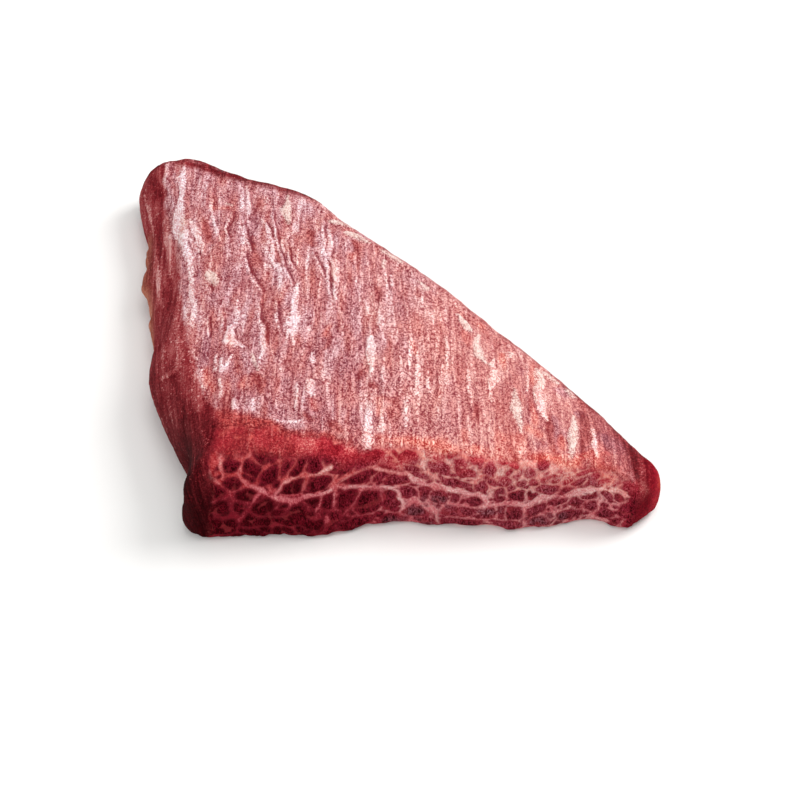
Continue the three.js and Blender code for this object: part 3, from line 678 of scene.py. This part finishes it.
flange = np.exp(-((z - FLANGE_HEIGHT) / 3.5) ** 2) * smooth(6, 14, y) * smooth(74, 64, y) * flank
relief += flange * (1 + .8 * noise(y / 5, 0 * y, 0, 37) + .4 * noise(y / 1.8, 0 * y, 0, 38))
skin = push(skin, normals, relief)


# ---------------------------------------------------------------- mesh

RING_SCALES = (.97, .88, .7, .4)


def underside(rim):
    """Rings of points and triangles from the skin's border in to the middle: each ring has
    half the points of the one outside it and lies nearer the middle, and the last closes."""
    points, faces = [], []
    ring = rim
    indices = np.arange(len(rim))
    count = len(rim)
    middle_point = rim.mean(0)
    for scale in RING_SCALES:
        inner = middle_point + (rim[::len(rim) // (len(ring) // 2)] - middle_point) * scale
        inner_indices = count + np.arange(len(inner))
        # outer points a, b, c in turn lie over inner points d and e
        a, b, c = indices[0::2], indices[1::2], np.roll(indices, -2)[0::2]
        d, e = inner_indices, np.roll(inner_indices, -1)
        faces += [np.stack([b, a, d], -1), np.stack([b, d, e], -1), np.stack([c, b, e], -1)]
        points.append(inner)
        count += len(inner)
        ring, indices = inner, inner_indices
    last = np.full(len(indices), count)
    faces.append(np.stack([np.roll(indices, -1), indices, last], -1))
    points.append(middle_point[None])
    return np.vstack(points), np.vstack(faces)


def grid_numbers():
    """The number of each point of the skin's grid."""
    return np.arange((STEPS_X + 1) * (STEPS_Y + 1)).reshape(STEPS_X + 1, STEPS_Y + 1)


def border_numbers():
    """The points along the grid's border, counter-clockwise seen from above."""
    number = grid_numbers()
    return np.concatenate([number[:-1, 0], number[-1, :-1], number[:0:-1, -1], number[0, :0:-1]])


def build_meat(attributes, grain):
    """One closed mesh of the skin's grid and its underside, with the looks' masks as point
    attributes and the grain coordinates as a UV map."""
    border = border_numbers()
    grid = skin.reshape(-1, 3)
    sole, sole_faces = underside(grid[border])
    sole_numbers = np.concatenate([border, len(grid) + np.arange(len(sole))])
    points = (np.vstack([grid, sole]) - CENTRE) * MM
    number = grid_numbers()
    quads = np.stack([number[:-1, :-1], number[1:, :-1], number[1:, 1:], number[:-1, 1:]], -1)
    quads = quads.reshape(-1, 4)
    triangles = sole_numbers[sole_faces]
    mesh = bpy.data.meshes.new("secreto_meat")
    mesh.vertices.add(len(points))
    mesh.vertices.foreach_set("co", points.astype(np.float32).ravel())
    loops = np.concatenate([quads.ravel(), triangles.ravel()])
    starts = np.concatenate([np.arange(len(quads)) * 4,
                             len(quads) * 4 + np.arange(len(triangles)) * 3])
    mesh.loops.add(len(loops))
    mesh.loops.foreach_set("vertex_index", loops.astype(np.int32))
    mesh.polygons.add(len(starts))
    mesh.polygons.foreach_set("loop_start", starts.astype(np.int32))
    mesh.update(calc_edges=True)
    mesh.shade_smooth()
    uv = np.vstack([np.stack(grain, -1).reshape(-1, 2), sole[:, :2] * MM])
    layer = mesh.uv_layers.new(name="grain")
    layer.data.foreach_set("uv", uv[loops].astype(np.float32).ravel())
    for name, values in attributes.items():
        values = values.ravel()
        data = np.append(values, np.full(len(sole), values[border].mean()))
        mesh.attributes.new(name, "FLOAT", "POINT").data.foreach_set("value", data)
    mesh.validate()
    meat = bpy.data.objects.new("secreto_meat", mesh)
    bpy.context.scene.collection.objects.link(meat)
    return meat


# ---------------------------------------------------------------- materials

def colour(hex_value):
    """Linear colour of an sRGB hex value."""
    srgb = np.array([int(hex_value[k:k + 2], 16) / 255 for k in (1, 3, 5)])
    linear = np.where(srgb <= .04045, srgb / 12.92, ((srgb + .055) / 1.055) ** 2.4)
    return (*linear, 1.0)


def add(tree, kind, inputs, out=0, shades=(), **settings):
    """Adds a node with these settings, gives its inputs, by name or in their order, their
    values or links, spreads any shades evenly along its colour ramp, and returns one of its
    outputs."""
    made = tree.nodes.new(kind)
    for name, value in settings.items():
        setattr(made, name, value)
    for name, value in (inputs.items() if isinstance(inputs, dict) else enumerate(inputs)):
        if isinstance(value, bpy.types.NodeSocket):
            tree.links.new(value, made.inputs[name])
        else:
            made.inputs[name].default_value = value
    for number, shade in enumerate(shades):
        stops = made.color_ramp.elements
        if number in (0, len(shades) - 1):
            stop = stops[0 if number == 0 else -1]
        else:
            stop = stops.new(number / (len(shades) - 1))
        stop.color = colour(shade)
    return made.outputs[out] if made.outputs else made


# Kinds of node. A Math node's inputs are given in their order, and a Map Range node's are the
# value, the two ends that it comes from and the two that it goes to.
MATH, RANGE, RAMP, MIX = ("ShaderNodeMath", "ShaderNodeMapRange", "ShaderNodeValToRGB",
                          "ShaderNodeMix")
NOISE, MAPPING, BUMP = "ShaderNodeTexNoise", "ShaderNodeMapping", "ShaderNodeBump"
FACTOR, FIRST, SECOND, MIXED = 0, 6, 7, 2  # a Mix node's sockets for colours
FIRST_NUMBER, SECOND_NUMBER = 2, 3  # and for numbers

# Shades of the meat from dark to light, each with the value that picks among them.
SHADES = {
    "lilac": ("top", ["#76303c", "#a66068", "#c88f94", "#e2bcc2", "#f6eef4"]),
    "peachy": ("top", ["#86323a", "#b25e60", "#d08c86", "#e8b4ac", "#f8e8e4"]),
    "rose": ("top", ["#7e2428", "#a64c4c", "#c46e6a", "#da968e", "#f4d8d2"]),
    "red": ("top", ["#74141a", "#9a2c2e", "#ba4c48", "#d67a72", "#f2beb4"]),
    "orange": ("top", ["#ac2a26", "#c84c42", "#e07c6c", "#f2aa98", "#fbded2"]),
    "cream": ("soft fat", ["#b87c76", "#dfb4aa", "#f4e4dc"]),
    "maroon": ("side", ["#2a0205", "#5c0e16", "#8c2a30", "#b45a5a", "#dea8a4"]),
    "tallow": ("side", ["#6a2c22", "#a45c48", "#c88c70", "#e6c6ae"]),
    "wine": ("fibre ends", ["#340106", "#640a18", "#922436", "#bc5a64", "#e8b0b4"]),
    "dusty wine": ("fibre ends", ["#2a0a0e", "#58222a", "#844a54", "#b4868c", "#e0c6ca"]),
    "clear red": ("band", ["#7c0e1a", "#a01e2a", "#c43c44", "#de6e6c", "#f6beb2"]),
    "pink fat": ("seam", ["#7c1826", "#b44650", "#ce6c72", "#e2a2a0", "#f6dcd6"]),
    "salmon fat": ("seam", ["#ae2426", "#cc4842", "#e0746a", "#f0a494", "#fad6c8"]),
    "crimson": ("tip", ["#4a040e", "#780c1a", "#a01c2c", "#bc4638", "#e69a80"]),
}
# Plain colours: a thin seam's line, the red beside the seams, and the near black of painted shade.
PLAIN_SHADES = {"fine line": "#b03c42", "beside seam": "#a02c3a", "painted shade": "#200204"}


def raw_pork(mask_names):
    """Raw pork, trimmed and cut across the grain: moist red muscle in bundles, pale seams of
    fat between them, and on the outside pink fibres under torn white silverskin. Its colours
    also hold painted light: glints, wet sheen, a highlight on the tip, and shade in wrinkles,
    creases and low on the flank."""
    material = bpy.data.materials.new("raw_marbled_pork")
    material.use_nodes = True
    tree = material.node_tree
    tree.nodes.clear()
    mask = {name: add(tree, "ShaderNodeAttribute", {}, "Fac", attribute_name=name)
            for name in mask_names}
    place = add(tree, "ShaderNodeTexCoord", {}, "Object")
    grain = add(tree, "ShaderNodeUVMap", {}, uv_map="grain")

    # moist grain: specks 0.7 mm apart, and tiny crooked wrinkles of the drying surface, drawn 1 mm
    # apart so that they show; in the colours the specks' light points are partly painted glints
    speck = add(tree, NOISE, {"Vector": place, "Scale": 1 / (.7 * MM), "Detail": 1.5,
                              "Roughness": .6, "Distortion": .5})
    rough = add(tree, RANGE, (speck, .3, .7, -.5, .5))
    # painted glints: the brightest specks as tiny light points in the flank's colour
    glint = add(tree, RANGE, (speck, .64, .74, 0, .3))
    drawn = add(tree, MAPPING, {"Vector": place, "Scale": (1, .75, 1)})
    worms = add(tree, NOISE, {"Vector": drawn, "Scale": 1 / (.95 * MM), "Detail": .6,
                              "Distortion": .9})

    # fibres: fine lines 1.1 mm apart, in wider streaks 2.2 mm apart, drawn out along the grain,
    # and on the cut face their ends, short tilted dashes 0.8 mm apart
    long_grain = add(tree, MAPPING, {"Vector": grain, "Scale": (1, .09, 1)})
    fibre = add(tree, NOISE, {"Vector": long_grain, "Scale": 1 / (1.1 * MM), "Detail": 2.0,
                              "Distortion": .3})
    streak = add(tree, NOISE, {"Vector": long_grain, "Scale": 1 / (2.2 * MM), "Detail": 2.0,
                               "Distortion": .7})
    tilted = add(tree, MAPPING, {"Vector": place, "Rotation": (0, .5, 0), "Scale": (1, 1, .45)})
    dash = add(tree, NOISE, {"Vector": tilted, "Scale": 1 / (.8 * MM), "Detail": 1.2,
                             "Distortion": .9})

    # crooked lines: they run wherever a noise crosses its middle value. In the colours the wrinkles'
    # dark lines and the lighter spots between them are painted shade and painted glints of the moist
    # grain, the furrows are painted shade along the grain, and the hairs are light fibre ends
    crooked = {}
    for name, source, *ends in (("wrinkle_and_shade", worms, .005, .1, -.42, .21),
                                ("furrow", streak, 0, .06, -.17, .03),
                                ("hair", dash, 0, .13, .36, -.12)):
        off_line = add(tree, MATH, (source, .5), operation="SUBTRACT")
        off_line = add(tree, MATH, (off_line,), operation="ABSOLUTE")
        crooked[name] = add(tree, RANGE, (off_line, *ends))
    wrinkle_and_shade, hair = crooked["wrinkle_and_shade"], crooked["hair"]
    lines = crooked["furrow"]
    for source, *ends in ((fibre, .3, .7, -.14, .14), (streak, .36, .64, -.09, .09)):
        stripes = add(tree, RANGE, (source, *ends))
        lines = add(tree, MATH, (lines, stripes), operation="ADD")

    # values: how light each spot is, or how deep inside a feature it lies, is a mask or a
    # number plus an amount of each pattern
    recipes = {
        "top": (mask["light"], (rough, .26), (wrinkle_and_shade, mask["crinkle"]), (lines, 1)),
        # the white of torn silverskin and of painted wet sheen
        "silverskin": (.87, (wrinkle_and_shade, .65)),
        "in silverskin": (mask["silverskin_and_sheen"], (rough, .6), (wrinkle_and_shade, .4)),
        "redder": (mask["rosy"], (rough, .5)),
        "soft fat": (.68, (wrinkle_and_shade, 1)),
        "in soft fat": (mask["fat"], (rough, .9), (wrinkle_and_shade, .8)),
        "side": (mask["side_light"], (rough, .2), (lines, .6), (wrinkle_and_shade, .22), (glint, 1)),
        "fibre ends": (mask["cut_light"], (rough, .14), (hair, 1)),
        "band": (mask["band_light"], (rough, .4), (hair, .7), (wrinkle_and_shade, .3)),
        "seam": (mask["seam_light"], (rough, .25), (hair, .5)),
        "out of seam": (mask["seam"], (rough, .14)),
        "tip": (mask["tip_light"], (rough, .32)),
    }
    value = {}
    for name, (start, *patterns) in recipes.items():
        value[name] = start
        for pattern, amount in patterns:
            value[name] = add(tree, MATH, (pattern, amount, value[name]), operation="MULTIPLY_ADD")

    # shares: how much of each layer shows
    # torn: the share of torn silverskin and painted wet sheen
    torn = add(tree, RANGE, (value["in silverskin"], -.25, .35, 0, .82))
    soft_fat = add(tree, RANGE, (value["in soft fat"], -.45, .55, 0, .8))
    outer_wall = add(tree, MATH, (mask["flank"], mask["rim"]), operation="MAXIMUM")
    in_band = add(tree, MATH, (mask["band"], .9), operation="MULTIPLY")
    fine_line = add(tree, RANGE, (mask["fine_seam"], .5, .1, 0, .3))
    near_seam = add(tree, RANGE, (value["out of seam"], .8, .1, 0, .35))
    in_seam = add(tree, RANGE, (value["out of seam"], .25, -.32, 0, .94))
    value["top"] = add(tree, MIX, {FACTOR: torn, FIRST_NUMBER: value["top"],
                                   SECOND_NUMBER: value["silverskin"]})
    value["side"] = add(tree, MATH, (torn, .27, value["side"]), operation="MULTIPLY_ADD")

    # paint: each zone's shades, and over its first one the others by their shares; the meat's last
    # coat is painted shade, low on the front of the flank and in a hollow at the front left corner
    paint = {name: add(tree, RAMP, (value[picker],), shades=shades)
             for name, (picker, shades) in SHADES.items()}
    paint.update({name: colour(shade) for name, shade in PLAIN_SHADES.items()})
    coats = (
        ("top", "lilac", (mask["peach"], "peachy"), (value["redder"], "rose"),
         (mask["reddened"], "red"), (mask["orange"], "orange"), (soft_fat, "cream")),
        ("side", "maroon", (mask["flange"], "tallow")),
        ("seam", "pink fat", (mask["warm_seam"], "salmon fat")),
        ("cut", "wine", (mask["dusty"], "dusty wine"), (in_band, "clear red"),
         (fine_line, "fine line"), (near_seam, "beside seam"), (in_seam, "seam")),
        ("meat", "top", (outer_wall, "side"), (mask["cut"], "cut"), (mask["tip_end"], "crimson"),
         (mask["shade"], "painted shade")),
    )
    for name, first, *over in coats:
        paint[name] = paint[first]
        for share, coat in over:
            paint[name] = add(tree, MIX, {FACTOR: share, FIRST: paint[name],
                                          SECOND: paint[coat]}, MIXED, data_type="RGBA")

    # wet gloss: strongest on the top, where the light skims over the moist grain
    wet = add(tree, RANGE, (mask["wet"], 0, 1, .05, .4))
    height = add(tree, MATH, (wrinkle_and_shade, 1.2, speck), operation="MULTIPLY_ADD")
    bump = add(tree, BUMP, {"Strength": .8, "Distance": .25 * MM, "Height": height})
    bump = add(tree, BUMP, {"Strength": .5, "Distance": .3 * MM, "Height": fibre, "Normal": bump})
    surface = add(tree, "ShaderNodeBsdfPrincipled",
                  {"Base Color": paint["meat"], "Roughness": .5, "IOR": 1.4,
                   "Specular IOR Level": 0.0, "Subsurface Weight": .08,
                   "Subsurface Radius": (1.0, .35, .25), "Subsurface Scale": 1.2 * MM,
                   "Coat Weight": wet, "Coat Roughness": .25, "Coat IOR": 1.38,
                   "Normal": bump, "Coat Normal": bump})
    add(tree, "ShaderNodeOutputMaterial", {"Surface": surface})
    return material


def studio_floor():
    """Matt white painted board: nearly white, with a slight tooth."""
    material = bpy.data.materials.new("matt_white_board")
    material.use_nodes = True
    tree = material.node_tree
    shader = tree.nodes["Principled BSDF"]
    place = add(tree, "ShaderNodeTexCoord", {}, "Object")
    tooth = add(tree, NOISE, {"Vector": place, "Scale": 1 / (2.5 * MM)})
    bump = add(tree, BUMP, {"Strength": .05, "Distance": .1 * MM, "Height": tooth})
    shader.inputs["Base Color"].default_value = colour("#f4f3f1")
    shader.inputs["Roughness"].default_value = .85
    tree.links.new(bump, shader.inputs["Normal"])
    return material


# ---------------------------------------------------------------- masks and the meat

# How light each zone is, from the dark of its shades at 0 to the light at 1.
# the flank's light holds painted shade: lighter high up, and darker towards the front
side_light = (.57 + .07 * coarse + .06 * middle + .05 * fine + .06 * smooth(15, 24, z)
              - flank * (.12 * smooth(60, -30, y) + .24 * smooth(-20, -55, y) + .13 * dark_skin)
              - rim * (.25 - .09 * smooth(-36, -28, x) * smooth(60, 40, x)))
# painted light on the cut face: its bundles and seams lighter towards the top of the face and darker
# low down
cut_light = (-.09 + .18 * (tone - .5) + .18 * smooth(.5, .95, height_share)
             + .32 * smooth(-40, 10, x) - .16 * smooth(70, 76, x))
seam_light = (-.08 + .60 * smooth(-50, 15, x) + (.34 - .32 * smooth(-20, 20, x)) * fat_seam
              + .10 * smooth(.35, .75, height_share) * smooth(-10, 20, x)
              - .16 * smooth(.5, .2, height_share) * smooth(5, -25, x)
              + .14 * noise(x / 4, z / 4, 0, 47) + .06 * band
              + .22 * smooth(-5, -25, x) * smooth(14, 22, z))
band_light = (.22 - .16 * smooth(-34, -50, x) + .34 * noise(x / 4, y / 4, z / 4, 43)
              + .14 * (tone - .5) + .12 * middle + .24 * smooth(-30, 30, x)
              + .14 * np.exp(-((x + 30) / 5) ** 2) * smooth(-5, -1, from_crest))
# painted highlight: the tip lighter towards its right end, brightest on its right rim
tip_light = (.25 + .14 * smooth(79, 83, x) + .36 * smooth(81.5, 85, x) * smooth(6, 14, z)
             + .1 * noise(x / 4, z / 4, 0, 48) + .08 * noise(y / 2, z / 9, 0, 49))
dusty = cut * smooth(-1.5, 1.5, strokes(DUSTY_ON_CUT, x, z) + noise(x / 3, z / 3, 0, 53))
dusty = np.maximum(dusty, .3 * cut * smooth(-20, 20, x)) * smooth(74, 68, x)
# painted shade: the flank darkened low down and towards the front, and a hollow at the front left
# corner darkened too
shade = flank * smooth(33, 10, z) * smooth(10, -48, y) * .7
shade = np.maximum(shade, .75 * np.exp(-((x + 68) / 5) ** 2 - ((z - 21) / 6) ** 2) * (y < -30))
warm_seam = np.maximum(band, (.55 * smooth(.45, .75, height_share) - .3 * fat_seam).clip(0, 1))
wet = np.clip(1 - cut - .85 * flank - .7 * rim - tip_end, 0, 1)
masks = {"cut": cut, "band": band, "flank": flank, "rim": rim, "tip_end": tip_end, "wet": wet,
         "light": light, "crinkle": 1.05 - .3 * smooth(0, 45, x), "silverskin_and_sheen": silverskin_and_sheen, "fat": fat,
         "peach": peach, "rosy": rosy, "reddened": reddened, "orange": orange,
         "side_light": side_light, "flange": .8 * flange, "shade": shade,
         "seam": seam, "fine_seam": fine_seam, "warm_seam": warm_seam, "dusty": .8 * dusty,
         "cut_light": cut_light, "seam_light": seam_light, "band_light": band_light,
         "tip_light": tip_light}
meat = build_meat(masks, (u * MM, v * MM))
meat.data.materials.append(raw_pork(masks))
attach(meat, "root")
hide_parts("secreto")


# ---------------------------------------------------------------- floor, lights and camera

FLOOR_SIZE = 6.0
CAMERA_UP = np.radians(48)
CAMERA_AWAY = 0.654
LENS_MM, SENSOR_MM = 85, 36
# Square soft lights that all look at the meat: place, size and power.
LIGHTS = {"key": ((.85, .45, .85), .7, 15), "fill": ((-.45, -.75, .55), .9, 5),
          "overhead": ((.1, .15, 1.2), .9, 6)}
ROOM_LIGHT = .30


def lay_floor():
    """One flat square of board under the meat."""
    mesh = bpy.data.meshes.new("studio_floor")
    h = FLOOR_SIZE / 2
    mesh.from_pydata([(-h, -h, 0), (h, -h, 0), (h, h, 0), (-h, h, 0)], [], [(0, 1, 2, 3)])
    floor = bpy.data.objects.new("studio_floor", mesh)
    floor.data.materials.append(studio_floor())
    bpy.context.scene.collection.objects.link(floor)


def hang_lights():
    """White area lights, each turned towards the middle of the floor."""
    for name, (place, size, power) in LIGHTS.items():
        data = bpy.data.lights.new(name, "AREA")
        data.size, data.energy = size, power
        lamp = bpy.data.objects.new(name, data)
        lamp.location = place
        lamp.rotation_euler = (-Vector(place)).to_track_quat("-Z", "Y").to_euler()
        bpy.context.scene.collection.objects.link(lamp)


def light_room():
    """Even white light from all sides."""
    world = bpy.data.worlds.new("studio")
    world.use_nodes = True
    background = world.node_tree.nodes["Background"]
    background.inputs["Color"].default_value = colour("#ffffff")
    background.inputs["Strength"].default_value = ROOM_LIGHT
    bpy.context.scene.world = world


def set_camera():
    """Camera in front of the meat and above it, looking at the cutter's origin."""
    aim = Vector(-CENTRE * MM)
    back = Vector((0, -np.cos(CAMERA_UP), np.sin(CAMERA_UP)))
    data = bpy.data.cameras.new("camera")
    data.lens, data.sensor_width = LENS_MM, SENSOR_MM
    camera = bpy.data.objects.new("camera", data)
    camera.location = aim + back * CAMERA_AWAY
    camera.rotation_euler = (-back).to_track_quat("-Z", "Y").to_euler()
    bpy.context.scene.collection.objects.link(camera)
    bpy.context.scene.camera = camera


lay_floor()
set_camera()
hang_lights()
light_room()
bpy.context.scene.view_settings.view_transform = "Standard"
